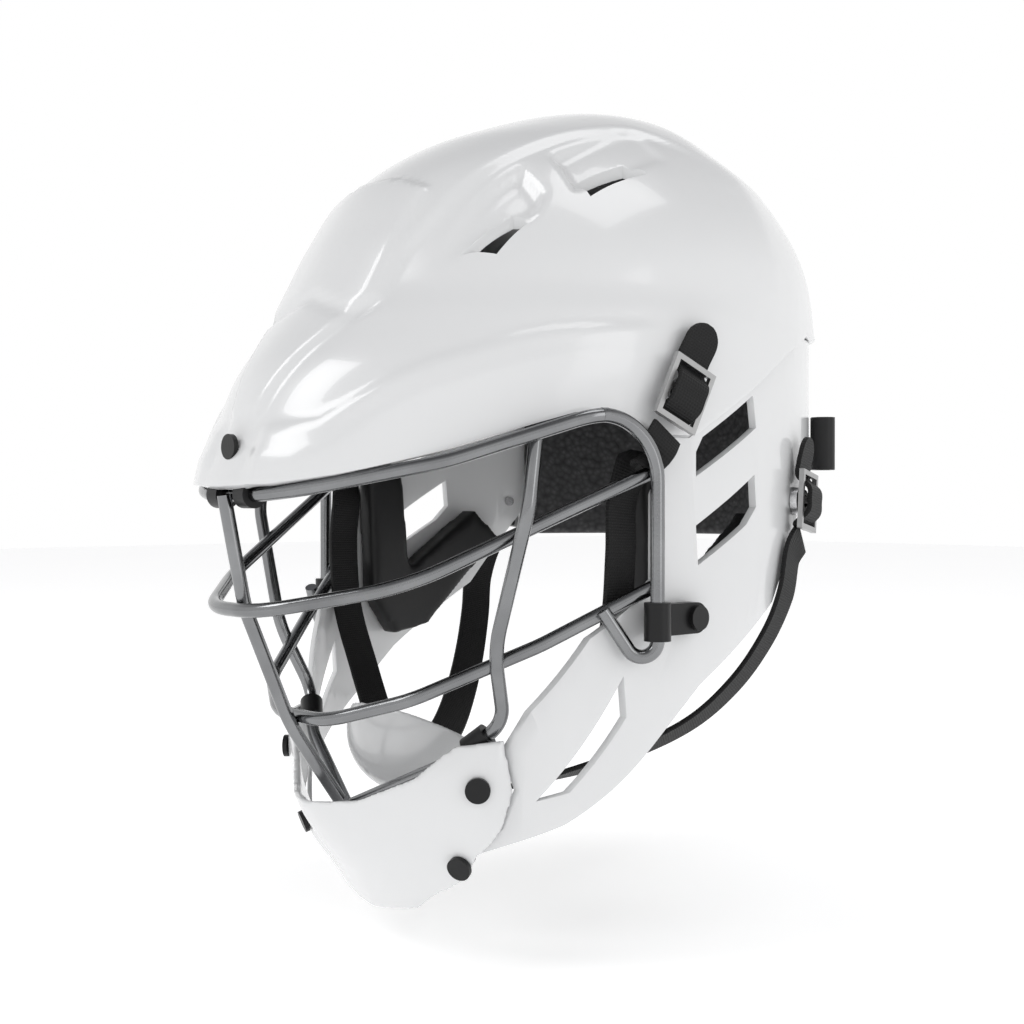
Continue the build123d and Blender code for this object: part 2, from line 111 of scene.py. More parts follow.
# %% Shader expressions
class Value:
    """A number socket that adds Math nodes when it is used in an expression."""

    def __init__(self, kit, socket):
        self.kit = kit
        self.socket = socket

    def _math(self, operation, *values):
        return self.kit.node("ShaderNodeMath", {"operation": operation}, dict(enumerate(values)))

    def __add__(self, other):
        return self._math("ADD", self, other)

    def __radd__(self, other):
        return self._math("ADD", other, self)

    def __sub__(self, other):
        return self._math("SUBTRACT", self, other)

    def __rsub__(self, other):
        return self._math("SUBTRACT", other, self)

    def __mul__(self, other):
        return self._math("MULTIPLY", self, other)

    def __rmul__(self, other):
        return self._math("MULTIPLY", other, self)

    def __truediv__(self, other):
        return self._math("DIVIDE", self, other)

    def sine(self):
        return self._math("SINE", self)


class Finish:
    """One material: its node tree, its shader and the helpers that build patterns."""

    def __init__(self, name, color, roughness, metallic=0.0, coat=0.0, coat_roughness=0.05):
        self.material = bpy.data.materials.new(name)
        self.material.use_nodes = True
        self.tree = self.material.node_tree
        self.shader = self.tree.nodes["Principled BSDF"]
        self.shader.inputs["Base Color"].default_value = (*color, 1)
        self.shader.inputs["Roughness"].default_value = roughness
        self.shader.inputs["Metallic"].default_value = metallic
        self.shader.inputs["Coat Weight"].default_value = coat
        self.shader.inputs["Coat Roughness"].default_value = coat_roughness
        self.material.diffuse_color = (*color, 1)

    def node(self, kind, settings=None, inputs=None, output=0):
        """Add a node, set it up, feed its sockets and return one output."""
        made = self.tree.nodes.new(kind)
        for key, value in (settings or {}).items():
            setattr(made, key, value)
        for key, value in (inputs or {}).items():
            if isinstance(value, Value):
                self.tree.links.new(value.socket, made.inputs[key])
            else:
                made.inputs[key].default_value = value
        return Value(self, made.outputs[output])

    def place(self):
        return self.node("ShaderNodeTexCoord", output="Object")

    def axes(self, vector):
        """The three numbers of a vector."""
        split = self.tree.nodes.new("ShaderNodeSeparateXYZ")
        self.tree.links.new(vector.socket, split.inputs[0])
        return [Value(self, split.outputs[axis]) for axis in range(3)]

    def noise(self, scale, detail=3.0, vector=None):
        return self.node("ShaderNodeTexNoise", {}, {"Vector": vector or self.place(), "Scale": scale,
                                                    "Detail": detail})

    def mix(self, share, first, second):
        """Blend two colours by a number from 0 to 1."""
        return self.node("ShaderNodeMix", {"data_type": "RGBA"},
                         {0: share, 6: (*first, 1), 7: (*second, 1)}, output=2)

    def feed(self, socket, value):
        self.tree.links.new(value.socket, self.shader.inputs[socket])

    def bump(self, height, depth, strength=1.0):
        """Let a height pattern tilt the shading, with its depth in metres."""
        lifted = self.node("ShaderNodeBump", {}, {"Height": height, "Distance": depth,
                                                  "Strength": strength})
        self.feed("Normal", lifted)


print("shader expressions ready")

# %% [markdown]
# The finishes. The shells are glossy injection-moulded plastic: nearly white, with the faint
# waviness of a thick moulding and a clear reflection. The cage is polished steel rod with fine
# marks in its gloss. Liner foam has a pebbled face, webbing has a fine weave.


# %% Finishes
RIB_PITCH = 0.0009      # ribs of the webbing, along its length, in metres
THREAD_PITCH = 0.0011   # threads across its width
MATT_BLACK = 0.3        # specular level of the dull black mouldings
MATT_WEBBING = 0.25


def shell_white(name="shell_white", color=(0.72, 0.725, 0.73)):
    finish = Finish(name, color, 0.22, coat=0.5, coat_roughness=0.04)
    dust = finish.noise(9.0, 4.0)
    finish.feed("Base Color", finish.mix(dust, tuple(c * 0.985 for c in color),
                                         tuple(min(1, c * 1.015) for c in color)))
    finish.feed("Roughness", 0.17 + finish.noise(35.0) * 0.09)
    finish.bump(finish.noise(26.0, 2.0), 0.0002, 0.25)
    return finish.material


def cage_steel():
    finish = Finish("cage_steel", (0.50, 0.505, 0.51), 0.24, metallic=1.0)
    marks = finish.noise(700.0, 2.0)
    clouds = finish.noise(45.0, 3.0)
    finish.feed("Roughness", 0.10 + marks * 0.10 + clouds * 0.06)
    finish.feed("Base Color", finish.mix(clouds, (0.15, 0.152, 0.157), (0.32, 0.325, 0.33)))
    finish.bump(marks, 0.00004, 0.4)
    return finish.material


def moulded_black(name="moulded_black", color=(0.006, 0.006, 0.0065), roughness=0.36, grain=900.0):
    finish = Finish(name, color, roughness)
    finish.shader.inputs["Specular IOR Level"].default_value = MATT_BLACK
    speck = finish.noise(grain, 2.0)
    finish.feed("Roughness", roughness - 0.06 + speck * 0.14)
    finish.feed("Base Color", finish.mix(finish.noise(60.0), tuple(c * 0.8 for c in color),
                                         tuple(c * 1.5 for c in color)))
    finish.bump(speck, 0.00008, 0.35)
    return finish.material


def liner_foam():
    finish = Finish("liner_foam", (0.035, 0.035, 0.037), 0.75)
    cells = finish.node("ShaderNodeTexVoronoi", {"feature": "SMOOTH_F1"},
                        {"Vector": finish.place(), "Scale": 430.0, "Smoothness": 0.35})
    finish.feed("Base Color", finish.mix(cells, (0.060, 0.060, 0.062), (0.022, 0.022, 0.023)))
    finish.feed("Roughness", 0.62 + cells * 0.25)
    finish.bump(1.0 - cells, 0.0006, 0.7)
    return finish.material


def woven_black():
    """Webbing: ribs across its width and a fine thread pattern, drawn on its own UV map."""
    finish = Finish("woven_black", (0.012, 0.012, 0.012), 0.6)
    finish.shader.inputs["Specular IOR Level"].default_value = MATT_WEBBING
    uv = finish.node("ShaderNodeUVMap", {"uv_map": "run"})
    along, across, _ = finish.axes(uv)
    ribs = (along * 2 * pi / RIB_PITCH).sine() * 0.5 + 0.5
    threads = (across * 2 * pi / THREAD_PITCH + (along * pi / RIB_PITCH).sine()).sine() * 0.5 + 0.5
    weave = ribs * 0.6 + threads * 0.4
    finish.feed("Base Color", finish.mix(weave, (0.003, 0.003, 0.003), (0.014, 0.014, 0.0145)))
    finish.feed("Roughness", 0.48 + weave * 0.2)
    finish.bump(weave, 0.00022, 0.7)
    return finish.material


def satin_metal(name, color, roughness, scratch=500.0):
    finish = Finish(name, color, roughness, metallic=1.0)
    marks = finish.noise(scratch, 3.0)
    finish.feed("Roughness", roughness - 0.07 + marks * 0.16)
    finish.feed("Base Color", finish.mix(finish.noise(80.0), tuple(c * 0.85 for c in color),
                                         tuple(min(1, c * 1.12) for c in color)))
    finish.bump(marks, 0.00003, 0.5)
    return finish.material


finishes = {
    "shell": shell_white(), "steel": cage_steel(), "black": moulded_black(),
    "foam": liner_foam(), "webbing": woven_black(),
    "soft": moulded_black("soft_black", (0.008, 0.008, 0.0085), 0.42, 500.0),
    "cup": shell_white("cup_white", (0.64, 0.645, 0.65)),
    "buckle": satin_metal("buckle_silver", (0.42, 0.42, 0.42), 0.38),
    "stud": satin_metal("stud_plate", (0.70, 0.70, 0.71), 0.2),
    "screw": moulded_black("screw_coat", (0.010, 0.010, 0.010), 0.3, 1200.0),
    "nut": satin_metal("nut_zinc", (0.55, 0.56, 0.57), 0.35),
}
print("finishes:", ", ".join(finishes))

# %% [markdown]
# A few helpers are used by every piece: start a mesh object from points and faces, finish it with
# a modifier that is applied at once, and dress it with a finish and the body that carries it.


# %% Helpers
def smooth(low, high, value):
    """Rise from 0 to 1 between two values, with soft ends."""
    share = min(max((value - low) / (high - low), 0.0), 1.0)
    return share * share * (3 - 2 * share)


def along_table(table, value):
    """Straight-line reading of a table of (value, result) pairs."""
    if value <= table[0][0]:
        return table[0][1]
    for (a, low), (b, high) in zip(table, table[1:]):
        if value <= b:
            return low + (high - low) * (value - a) / (b - a)
    return table[-1][1]


def mesh_object(name, points, faces):
    mesh = bpy.data.meshes.new(name)
    mesh.from_pydata([tuple(c * MM for c in p) for p in points], [], faces)
    made = bpy.data.objects.new(name, mesh)
    bpy.context.scene.collection.objects.link(made)
    return made


def only(piece):
    """Make one piece the selected and active one."""
    for item in bpy.context.selected_objects:
        item.select_set(False)
    piece.select_set(True)
    bpy.context.view_layer.objects.active = piece


def modify(piece, kind, **settings):
    """Add a modifier with its settings and apply it."""
    only(piece)
    modifier = piece.modifiers.new(kind.lower(), kind)
    for key, value in settings.items():
        setattr(modifier, key, value)
    bpy.ops.object.modifier_apply(modifier=modifier.name)


def edit(piece, *steps):
    """Run edit-mode steps on all of a piece."""
    only(piece)
    bpy.ops.object.mode_set(mode="EDIT")
    bpy.ops.mesh.select_all(action="SELECT")
    for step in steps:
        step()
    bpy.ops.object.mode_set(mode="OBJECT")


def outward():
    bpy.ops.mesh.normals_make_consistent(inside=False)


def soften(piece, angle=40.0):
    only(piece)
    bpy.ops.object.shade_smooth_by_angle(angle=radians(angle))


def dress(piece, finish, body, stands_for=(), bend=None):
    """Give a piece its finish, the body that carries it and the CAD nodes that it stands for.

    A strap between two bodies has bend set: the second body, and the points where it starts to
    follow each of them. Nothing reads these: with bend set the piece's placement is only baked into
    its mesh, and it is attached to no body and doesn't bend.
    """
    piece.data.materials.clear()
    piece.data.materials.append(finishes[finish])
    if bend:
        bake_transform(piece)
    else:
        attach(piece, body)
    if stands_for:
        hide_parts(*stands_for)
    size = [round(d / MM, 1) for d in piece.dimensions]
    print(piece.name, size, "mm,", len(piece.data.polygons), "faces")
    return piece


def solid_copy(node, name):
    """A welded copy of a CAD node's mesh, ready for modifiers."""
    made = bpy.data.objects.new(name, nodes[node].data.copy())
    bpy.context.scene.collection.objects.link(made)
    edit(made, lambda: bpy.ops.mesh.remove_doubles(threshold=0.00001), outward)
    return made


print("helpers ready")

# %% [markdown]
# ## The dome
# Both upper shells are parts of one dome. Its level sections are egg shaped: two half ellipses
# joined at the widest place. The table gives each section at a height that eases into the top, so
# that the rows close smoothly. The columns turn about the middle, starting at the wearer's left.

# %% Dome surface
WALL = 3.0
BRIM, TOP = 8.0, 148.5
FRONT, REAR, HALF, MIDDLE = 123.0, 129.0, 89.0, 20.0
SECTIONS = (
    (0.000, 1.000, 1.025, 0.973, 0.0), (0.121, 0.936, 1.015, 0.989, 0.0),
    (0.263, 0.860, 1.000, 1.000, 0.0), (0.413, 0.725, 0.978, 1.000, 2.0),
    (0.584, 0.610, 0.913, 0.956, 5.0), (0.740, 0.484, 0.780, 0.824, 8.0),
    (0.854, 0.300, 0.610, 0.659, 12.0), (0.925, 0.110, 0.470, 0.505, 14.0),
    (0.968, -0.035, 0.370, 0.350, 14.0), (1.000, -0.276, 0.264, 0.000, 14.0),
)
EASED = [(asin(share) / (pi / 2), *row) for share, *row in SECTIONS]


def section(rise):
    """Front reach, rear reach, half width and centre at an eased height from 0 to 1."""
    last = len(EASED) - 1
    spot = next((i for i in range(last) if rise <= EASED[i + 1][0]), last - 1)
    rows = [EASED[min(max(spot + k, 0), last)] for k in (-1, 0, 1, 2)]
    a, b = rows[1][0], rows[2][0]
    share = min(max((rise - a) / (b - a), 0.0), 1.0)
    result = []
    for column in range(1, 5):
        p = [row[column] for row in rows]
        left = (p[2] - p[0]) / max(rows[2][0] - rows[0][0], 1e-6) * (b - a)
        right = (p[3] - p[1]) / max(rows[3][0] - rows[1][0], 1e-6) * (b - a)
        s2, s3 = share * share, share ** 3
        result.append((2 * s3 - 3 * s2 + 1) * p[1] + (s3 - 2 * s2 + share) * left
                      + (3 * s2 - 2 * s3) * p[2] + (s3 - s2) * right)
    front, rear, half, shift = result
    return front * FRONT, rear * REAR, max(half, 0.0) * HALF, MIDDLE + shift


def dome_point(turn, rise):
    """Point of the plain dome surface, in millimetres."""
    front, rear, half, centre = section(rise)
    reach = rear - centre if sin(turn) > 0 else front + centre
    return Vector((half * cos(turn), centre + reach * sin(turn),
                   BRIM + (TOP - BRIM) * sin(rise * pi / 2)))


def rise_at(z):
    return asin(min(max((z - BRIM) / (TOP - BRIM), 0.0), 1.0)) / (pi / 2)


def dome_normal(turn, rise):
    step = 0.002
    along = dome_point(turn + step, rise) - dome_point(turn - step, rise)
    up = dome_point(turn, min(rise + step, 0.999)) - dome_point(turn, max(rise - step, 0))
    normal = along.cross(up)
    return normal.normalized() if normal.length > 1e-9 else Vector((0, 0, 1))


print("dome at the front of the brim:", [round(c, 1) for c in dome_point(-pi / 2, 0)])

# %% [markdown]
# ## Creases of the dome
# The moulding isn't a plain egg. A raised band runs from the forehead over the top, a ridge
# comes down over the nose between two valleys and ends in a rounded toe, and the lower part of the
# visor stands out below a long sweeping crease. Each is a small step along the surface normal with
# soft edges, so that the gloss shows it. The sizes are millimetres.

# %% Crease steps
BAND = [(-86, 29), (-73, 30), (-62, 35), (-47, 39), (-31, 42), (-13, 44), (5, 47), (14, 51), (24, 57),
        (34, 64)]
CREASE = [(-112, 27), (-105, 29), (-98, 35), (-89, 42), (-80, 47), (-66, 52), (-57, 55), (-47, 57.5),
          (-30, 59), (-11, 60)]
NOSE_HALF = [(26, 5.5), (32, 8.5), (40, 11), (50, 15.5), (61, 22.5), (68, 27)]
FIN_Y, FIN_TOP = (58.0, 98.0), 6.5


def band_step(p):
    """Rise of the centre band over the crown."""
    if p.z < 62:
        return 0.0
    half = along_table(BAND, p.y)
    fade = 1 - smooth(10, 44, p.y)
    front = smooth(62, 74, p.z)
    return 1.9 * fade * front * (smooth(half + 1.8, half - 2.2, abs(p.x)) - 0.8)


def nose_step(p):
    """Rise of the ridge over the nose, with its rounded toe."""
    if p.y > -60:
        return 0.0
    half = along_table(NOSE_HALF, p.z)
    toe = smooth(27.5, 31.5, p.z)
    return 2.0 * toe * smooth(half + 1.0, half - 2.0, abs(p.x))


def crease_step(p):
    """Rise of the visor's lower part below the sweeping crease, and the valley along it."""
    line = along_table(CREASE, p.y)
    outside = smooth(9.0, 16.0, abs(p.x))
    below = smooth(line + 2.0, line - 2.0, p.z) * smooth(line - 26, line - 6, p.z)
    second = smooth(line - 6.0, line - 9.5, p.z) * smooth(line - 24, line - 10, p.z)
    fade = 1 - smooth(-24, -2, p.y)
    return outside * fade * (1.5 * below + 0.5 * second)


def seam_step(p):
    """Groove where the crown's band meets the nose ridge, a shallow V over the forehead."""
    if p.y > -50 or abs(p.x) > 31:
        return 0.0
    line = 69.5 - 0.32 * abs(p.x) if abs(p.x) < 22 else 62.5 + (abs(p.x) - 22) * 0.45
    groove = smooth(3.0, 0.0, abs(p.z - line))
    return -1.3 * groove * smooth(31, 28, abs(p.x))


def rear_step(p):
    """Soft bulge and flared edge at the back of the crown."""
    flare = 1.4 * smooth(84, 67, p.z) * smooth(70, 92, p.y)
    bulge = 1.8 * smooth(26, 46, p.y) * smooth(66, 84, p.z) * smooth(132, 112, p.z) * smooth(22, 48, abs(p.x))
    return flare + bulge


def fin_step(p):
    """Small tail fin each side of the top, rising backwards to a short drop."""
    if not (FIN_Y[0] < p.y < FIN_Y[1] + 3) or p.z < 96:
        return 0.0
    side = abs(p.x) - (40 + 10 * (FIN_Y[1] - p.y) / 40)
    ridge = smooth(-5.0, -0.5, side) * smooth(3.2, 0.5, side)
    length = smooth(FIN_Y[0], FIN_Y[1] - 4, p.y) * smooth(FIN_Y[1] + 2.5, FIN_Y[1], p.y)
    return FIN_TOP * ridge * length


# %% [markdown]
# Each vent sits in a sunken facet: the surface slopes down from its front tip to the hole.

# %% Vent recesses
VENTS = (
    {"outline": [(40, -70), (46, -66), (60, -43), (58, -36), (45, -36)], "from": -70, "to": -40,
     "depth": 4.6},
    {"outline": [(47, -26), (48, 14), (65, 15), (67, -4), (63, -29)], "from": 15, "to": -24,
     "depth": 4.2},
)


def inside(outline, x, y):
    """Smallest distance inside an outline, in plan: negative outside."""
    distances = []
    count = len(outline)
    area = sum(outline[i - 1][0] * outline[i][1] - outline[i][0] * outline[i - 1][1] for i in range(count))
    for i in range(count):
        (ax, ay), (bx, by) = outline[i - 1], outline[i]
        length = ((bx - ax) ** 2 + (by - ay) ** 2) ** 0.5
        cross = ((bx - ax) * (y - ay) - (by - ay) * (x - ax)) / length
        distances.append(cross if area > 0 else -cross)
    return min(distances)


def vent_step(p):
    if p.z < 70:
        return 0.0
    sunk = 0.0
    for vent in VENTS:
        edge = inside(vent["outline"], abs(p.x), p.y)
        if edge > -0.5:
            slope = min(max((p.y - vent["from"]) / (vent["to"] - vent["from"]), 0), 1)
            sunk -= vent["depth"] * (0.12 + 0.88 * slope) * smooth(-0.5, 3.6, edge)
    return sunk


def shaped(turn, rise):
    """Point of the finished dome surface with all its steps."""
    p = dome_point(turn, rise)
    step = (band_step(p) + nose_step(p) + crease_step(p) + seam_step(p) + rear_step(p) + fin_step(p)
            + vent_step(p))
    return p + dome_normal(turn, rise) * step


print("vents and creases defined")

# %% [markdown]
# ## Crown and visor shells
# Crown and visor are one grid of quads that rises from an edge line along the lip and the seams to
# the top. Solidify gives it the wall, and a small bevel rounds the rims so that they catch light.
# The vent openings are cut with prisms after that, as a trimming tool would.

# %% Shell grid
SEAM = [(8, 29), (27, 40), (52, 55), (75, 64), (140, 65)]
LIP = [(-140, 8), (-118, 8.8), (-106, 11.5), (-81, 19), (-57, 27), (-42, 31.5), (-29, 30), (-20, 25),
       (2, 25), (8, 29)]
FOOT = LIP + SEAM[1:]
COLUMNS, ROWS = 384, 104


def rise_on(line, turn):
    """Height share at which a column of the dome meets an edge line."""
    z = 40.0
    for _ in range(14):
        z = 0.5 * (z + along_table(line, dome_point(turn, rise_at(z)).y))
    return rise_at(z)


def shell_from_rows(name, rows):
    """Weave closed rows of points into quads."""
    width = len(rows[0])
    points = [p for row in rows for p in row]
    faces = []
    for r in range(len(rows) - 1):
        for c in range(width):
            d = (c + 1) % width
            faces.append((r * width + c, r * width + d, (r + 1) * width + d, (r + 1) * width + c))
    return mesh_object(name, points, faces)


def relax(piece):
    """Ease the whole surface once, and the vent recesses a little more."""
    group = piece.vertex_groups.new(name="recess")
    picked = [v.index for v in piece.data.vertices if v.co.z > 70 * MM
              and any(inside(vent["outline"], abs(v.co.x) / MM, v.co.y / MM) > -2.5 for vent in VENTS)]
    group.add(picked, 1.0, "REPLACE")
    modify(piece, "SMOOTH", factor=0.5, iterations=1)
    modify(piece, "SMOOTH", factor=0.5, iterations=3, vertex_group="recess")
    print("eased", len(picked), "points round the vents")


RIM_RADIUS = 0.7
RIM_ANGLE = 62.0        # edges sharper than this are rims, the rest is surface


def wall_and_rim(piece):
    edit(piece, lambda: bpy.ops.mesh.remove_doubles(threshold=0.00002), outward)
    relax(piece)
    modify(piece, "SOLIDIFY", thickness=WALL * MM, offset=-1.0, use_even_offset=False)
    modify(piece, "BEVEL", width=RIM_RADIUS * MM, segments=2, limit_method="ANGLE",
           angle_limit=radians(RIM_ANGLE))


def prism_cutter(name, outline, low, high, mirrored=False):
    """Upright prism from an outline in plan."""
    side = -1 if mirrored else 1
    count = len(outline)
    points = [(side * x, y, z) for z in (low, high) for x, y in outline]
    faces = [tuple(range(count)), tuple(range(2 * count - 1, count - 1, -1))]
    faces += [(i, (i + 1) % count, count + (i + 1) % count, count + i) for i in range(count)]
    cutter = mesh_object(name, points, faces)
    edit(cutter, outward)
    return cutter


def cut(piece, cutter):
    modify(piece, "BOOLEAN", operation="DIFFERENCE", solver="EXACT", object=cutter)
    bpy.data.objects.remove(cutter)


turns = [2 * pi * i / COLUMNS for i in range(COLUMNS)]
feet = [rise_on(FOOT, turn) for turn in turns]
dome_rows = []
for row in range(ROWS + 1):
    share = row / ROWS
    dome_rows.append([shaped(turn, foot + (1 - foot) * share) for turn, foot in zip(turns, feet)])
crown = shell_from_rows("crown_and_visor", dome_rows)
wall_and_rim(crown)
HOLES = ([(46, -62), (50, -44), (58.5, -40.5), (54.5, -55)], [(55, -25), (59, -3), (67, 1), (65, -24)])
for outline in HOLES:
    for mirrored in (False, True):
        cut(crown, prism_cutter("vent_cutter", outline, 60, 160, mirrored))
print("dome grid", ROWS, "by", COLUMNS)

# %% [markdown]
# One screw in front fixes the visor to the cage clip. Its hole is cut with a cylinder that lies along
# the helmet, because a round hole through a curved wall can't be drawn on the grid.

# %% Screw hole and finish
only(crown)
HOLE_RADIUS, HOLE_LENGTH, HOLE_PLACE = 2.3, 30.0, (0, -118, 21)
bpy.ops.mesh.primitive_cylinder_add(vertices=32, radius=HOLE_RADIUS * MM, depth=HOLE_LENGTH * MM,
                                    location=[c * MM for c in HOLE_PLACE], rotation=(pi / 2, 0, 0))
cut(crown, bpy.context.object)
soften(crown, RIM_ANGLE)
dress(crown, "shell", "helmet", ["crown_shell", "visor"])

# %% [markdown]
# ## Lower shell and chin guard
# These mouldings have windows, slots and thick rounded edges. The lower shell is a welded copy of its
# CAD solid with its flat facets joined and every sharp edge bevelled, which keeps its windows crisp.
# The chin guard, the cup and the fit tail are remeshed with fine even cells and relaxed a little,
# which rounds every edge the way a mould does.


# %% Remeshed mouldings
def moulded(node, name, cell, easing):
    """Fine even skin over a CAD node with softened edges."""
    made = solid_copy(node, name)
    modify(made, "REMESH", mode="VOXEL", voxel_size=cell * MM, adaptivity=0.0)
    modify(made, "SMOOTH", factor=0.5, iterations=easing)
    only(made)
    bpy.ops.object.shade_smooth()
    return made


def bevelled(node, name, width):
    """Rounded edges on a welded copy of a CAD node, after its flat facets are joined."""
    made = solid_copy(node, name)
    edit(made, lambda: bpy.ops.mesh.dissolve_limited(angle_limit=radians(0.8)))
    modify(made, "BEVEL", width=width * MM, segments=3, limit_method="ANGLE",
           angle_limit=radians(42), use_clamp_overlap=True)
    soften(made, 35)
    return made


lower = bevelled("lower_shell", "lower_shell_moulding", 0.9)
dress(lower, "shell", "helmet", ["lower_shell"])
chin = moulded("chin_guard", "chin_guard_moulding", 0.9, 3)
dress(chin, "shell", "helmet", ["chin_guard"])
tail = moulded("fit_tail", "fit_tail_moulding", 0.9, 2)
dress(tail, "shell", "fit_tail", ["fit_tail"])
cup = moulded("chin_cup", "chin_cup_shell", 0.7, 2)
dress(cup, "cup", "chin_cup", ["chin_cup"])


# %% [markdown]
# ## Foam and soft pads
# Each pad is a foam block with a soft face: it is remeshed and smoothed, so its edges roll over.

# %% Pads
PADS = {
    "brow_pad": ("foam", "liner", "helmet"), "crown_pad": ("foam", "liner", "helmet"),
    "rear_pad": ("foam", "liner", "helmet"), "side_pad_left": ("foam", "liner", "helmet"),
    "side_pad_right": ("foam", "liner", "helmet"), "nape_pad": ("foam", "liner", "fit_tail"),
    "jaw_pad_left": ("soft", "soft_black", "helmet"),
    "jaw_pad_right": ("soft", "soft_black", "helmet"),
    "chin_cup_pad": ("soft", "soft_black", "chin_cup"),
}
for node, (finish, slot, body) in PADS.items():
    pad = moulded(node, node + "_foam", 1.5, 7)
    dress(pad, finish, body, [node])

# %% [markdown]
# ## Straps
# Each strap is flat webbing: a thin band with rounded edges that follows the same stations as its
# CAD band, smoothed into one flowing curve. A UV map along and across it carries the weave. A long
# strap runs from the helmet to the chin cup and stays where it is made, held by no body. A short
# tail turns with its buckle.


# %% Strap maker
def flow(stations, per_span=10):
    """Smooth run of (point, normal) through the stations."""
    result = []
    last = len(stations) - 1
    for i in range(last):
        picks = [stations[min(max(i + k, 0), last)] for k in (-1, 0, 1, 2)]
        for step in range(per_span + (1 if i == last - 1 else 0)):
            t = step / per_span
            weights = (-0.5 * t ** 3 + t * t - 0.5 * t, 1.5 * t ** 3 - 2.5 * t * t + 1,
                       -1.5 * t ** 3 + 2 * t * t + 0.5 * t, 0.5 * t ** 3 - 0.5 * t * t)
            point = sum((Vector(p) * w for (p, _), w in zip(picks, weights)), Vector())
            normal = sum((Vector(n).normalized() * w for (_, n), w in zip(picks, weights)), Vector())
            result.append((point, normal.normalized()))
    return result


def webbing(name, stations, width=13.0, thickness=1.7, mirrored=False, round_end=False):
    """Band of webbing with rounded edges and a UV map named run, in metres.

    With round_end its first end is cut to a half round, as a heat-sealed strap end is.
    """
    half, thin = width / 2, thickness / 2
    profile = [(-half, 0), (-half + 0.35, -thin), (-half / 2, -thin), (0, -thin), (half / 2, -thin),
               (half - 0.35, -thin), (half, 0), (half - 0.35, thin), (half / 2, thin), (0, thin),
               (-half / 2, thin), (-half + 0.35, thin)]
    side = -1 if mirrored else 1
    line = flow(stations)
    points, runs = [], []
    length = 0.0
    for i, (point, normal) in enumerate(line):
        before, after = line[max(i - 1, 0)][0], line[min(i + 1, len(line) - 1)][0]
        along = (after - before).normalized()
        across = along.cross(normal).normalized()
        out = across.cross(along)
        length += (point - before).length if i else 0.0
        left = max(1 - (length + 0.15) / half, 0.0) if round_end else 0.0
        narrow = (1 - left * left) ** 0.5
        for a, b in profile:
            a *= narrow
            p = point + across * a + out * b
            points.append((side * p.x, p.y, p.z))
            runs.append((length * MM, (a + b) * MM))
    count = len(profile)
    faces = []
    for i in range(len(line) - 1):
        for j in range(count):
            k = (j + 1) % count
            faces.append((i * count + j, i * count + k, (i + 1) * count + k, (i + 1) * count + j))
    faces.append(tuple(range(count)))
    faces.append(tuple((len(line) - 1) * count + j for j in range(count - 1, -1, -1)))
    made = mesh_object(name, points, faces)
    edit(made, outward)
    layer = made.data.uv_layers.new(name="run")
    for loop in made.data.loops:
        layer.data[loop.index].uv = runs[loop.vertex_index]
    soften(made, 50)
    return made


def flat_place(name):
    """Stud axis of a buckle from its packed joint: its place and the direction out."""
    joint = next(j for j in frame["joints"] if j["name"] == name)
    return Vector(joint["pos_m"]) / MM, Vector(joint["axis"]).normalized()


print("strap maker ready")

# %% Long straps
BUCKLES = {"front": (25.0, 14.0), "rear": (8.0, 12.5)}
ROUTES = {
    "front": [((88.5, -18, 20.5), (1, -0.1, 0.3)), ((80, -19, 15.5), (0.7, 0, 0.7)),
              ((76, -21, 4), (1, 0, 0)), ((76.5, -22, -13), (1, 0, 0)),
              ((73.5, -22, -38), (0.95, 0, -0.25)), ((62, -22, -62), (0.8, 0, -0.6)),
              ((45, -28, -78), (0.55, -0.1, -0.83)), ((30, -38, -86), (0.4, -0.2, -0.9))],
    "rear": [((82.3, 59, -15), (0.95, 0.3, 0)), ((83.1, 54, -29), (0.95, 0.3, 0)),
             ((79, 49, -44), (0.9, 0.25, -0.3)), ((72, 40, -60), (0.85, 0.2, -0.5)),
             ((62, 27, -74), (0.7, 0.1, -0.7)), ((47, 8, -85), (0.55, 0, -0.83)),
             ((32, -14, -92), (0.4, 0.1, -0.9)), ((20, -30, -96), (0.3, 0.2, -0.9))],
}
RIM, LENGTH = 1.8, 21.0
DROP = RIM / 2 + 0.9 + 0.3


def buckle_axes(name):
    """Origin, up and out of one buckle on the wearer's left."""
    origin, out = flat_place(f"{name}_buckle_left_swivel")
    level = Vector((0, 0, 1)).cross(out)
    lean = radians(BUCKLES[name][0])
    return origin, Vector((0, 0, 1)) * cos(lean) + level * sin(lean), out


for name, route in ROUTES.items():
    origin, up, out = buckle_axes(name)
    start = origin - up * (LENGTH / 2 + 3.0) - out * DROP
    stations = [(start, out)] + route
    tail_end = BUCKLES[name][1]
    half = LENGTH / 2
    profile = [(half + tail_end, -0.6), (half + tail_end / 2, -1.4), (half + 2.5, -DROP),
               (half - 2.2, -DROP), (half - 6.2, DROP), (0, DROP + 0.4), (6.2 - half, DROP),
               (2.2 - half, -DROP), (1.2 - half, -DROP)]
    for mirrored, side in ((False, "left"), (True, "right")):
        long_strap = webbing(f"{name}_strap_webbing_{side}", stations, mirrored=mirrored)
        hand = -1 if mirrored else 1
        ends = [Vector((hand * p[0], p[1], p[2])) * MM for p, _ in (stations[0], stations[-1])]
        dress(long_strap, "webbing", "helmet", [f"{name}_strap_{side}"],
              bend=("chin_cup", *ends))
        run = [(origin + up * u + out * w, out) for u, w in profile]
        short = webbing(f"{name}_tail_webbing_{side}", run, mirrored=mirrored, round_end=True)
        dress(short, "webbing", f"{name}_buckle_{side}", [f"{name}_strap_tail_{side}"])
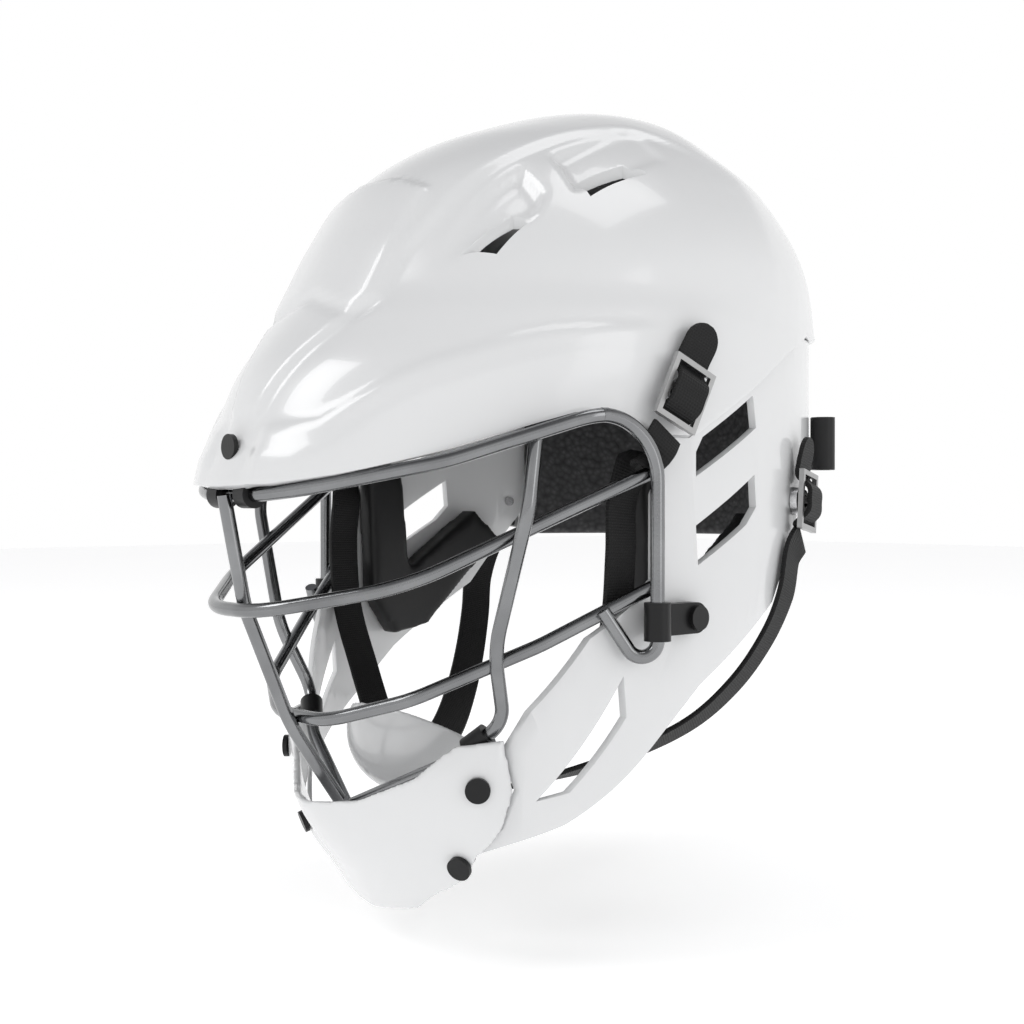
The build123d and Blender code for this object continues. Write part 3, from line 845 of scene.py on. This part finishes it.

# %% [markdown]
# ## Finishes of the carried-over CAD pieces
# The rods, clips, buckles, studs and screws have their true shape already. They only need their
# finish.

# %% CAD finishes
CAD_FINISH = {
    "brow_wire": "steel", "upper_bar": "steel", "lower_bar": "steel", "centre_bar": "steel",
    "drop_bar_left": "steel", "drop_bar_right": "steel", "brow_clip": "black",
    "side_clip_left": "black", "side_clip_right": "black", "side_clip_nuts": "nut",
    "side_clip_screws": "screw", "visor_screw": "screw", "chin_clip_left": "black",
    "chin_clip_right": "black", "chin_rivets_upper": "black", "chin_rivets_lower": "black",
    "front_buckle_left": "buckle", "front_buckle_right": "buckle", "rear_buckle_left": "buckle",
    "rear_buckle_right": "buckle", "front_socket_left": "black", "front_socket_right": "black",
    "rear_socket_left": "black", "rear_socket_right": "black", "front_studs": "cup",
    "rear_studs": "stud", "fit_strap_left": "soft", "fit_strap_right": "soft",
}
for node, finish in CAD_FINISH.items():
    slots = nodes[node].material_slots
    for slot in slots:
        slot.material = finishes[finish]
print("finished", len(CAD_FINISH), "CAD nodes")

# %% [markdown]
# ## Floor and light
# A plain pale floor and large soft lights, as in a small studio: one big key from the front above,
# one over the top, a tall one at the wearer's left, and a surround that darkens upwards so that the
# gloss has something to show. The floor glows a little, as a lit table does.

# %% Stage
for item in bpy.context.selected_objects:
    item.select_set(False)
bpy.ops.mesh.primitive_plane_add(size=8, location=(0, 0, cad_box[0].z - 0.012))
floor = bpy.context.object
floor.name = "floor"
pale = Finish("floor_pale", (0.86, 0.86, 0.86), 0.9)
pale.feed("Base Color", pale.mix(pale.noise(3.0), (0.85, 0.85, 0.85), (0.88, 0.88, 0.88)))
pale.shader.inputs["Emission Color"].default_value = (1, 1, 1, 1)
pale.shader.inputs["Emission Strength"].default_value = 0.45
floor.data.materials.append(pale.material)


def area_light(name, place, aim, size, power, height=None):
    data = bpy.data.lights.new(name, "AREA")
    data.shape = "RECTANGLE"
    data.size = size
    data.size_y = height or size
    data.energy = power
    lamp = bpy.data.objects.new(name, data)
    lamp.location = place
    lamp.rotation_euler = (Vector(aim) - Vector(place)).to_track_quat("-Z", "Y").to_euler()
    bpy.context.scene.collection.objects.link(lamp)


area_light("key", (-0.5, -1.3, 1.3), (0, 0, 0.02), 0.7, 6.6)
area_light("top", (0.5, 0.3, 1.7), (0, 0, 0), 0.9, 5.0)
area_light("side", (1.6, 0.2, 0.35), (0, 0, 0.03), 0.5, 2.2, 1.2)
world = bpy.data.worlds.new("studio")
world.use_nodes = True
surround = world.node_tree
way = surround.nodes.new("ShaderNodeTexCoord")
level = surround.nodes.new("ShaderNodeSeparateXYZ")
ramp = surround.nodes.new("ShaderNodeValToRGB")
surround.links.new(way.outputs["Generated"], level.inputs[0])
surround.links.new(level.outputs["Z"], ramp.inputs["Fac"])
surround.links.new(ramp.outputs["Color"], surround.nodes["Background"].inputs["Color"])
ramp.color_ramp.elements[0].position, ramp.color_ramp.elements[0].color = 0.42, (1, 1, 1, 1)
ramp.color_ramp.elements[1].position, ramp.color_ramp.elements[1].color = 0.80, (0.27, 0.27, 0.28, 1)
bpy.context.scene.world = world
bpy.context.scene.view_settings.view_transform = "Standard"
print("stage set")
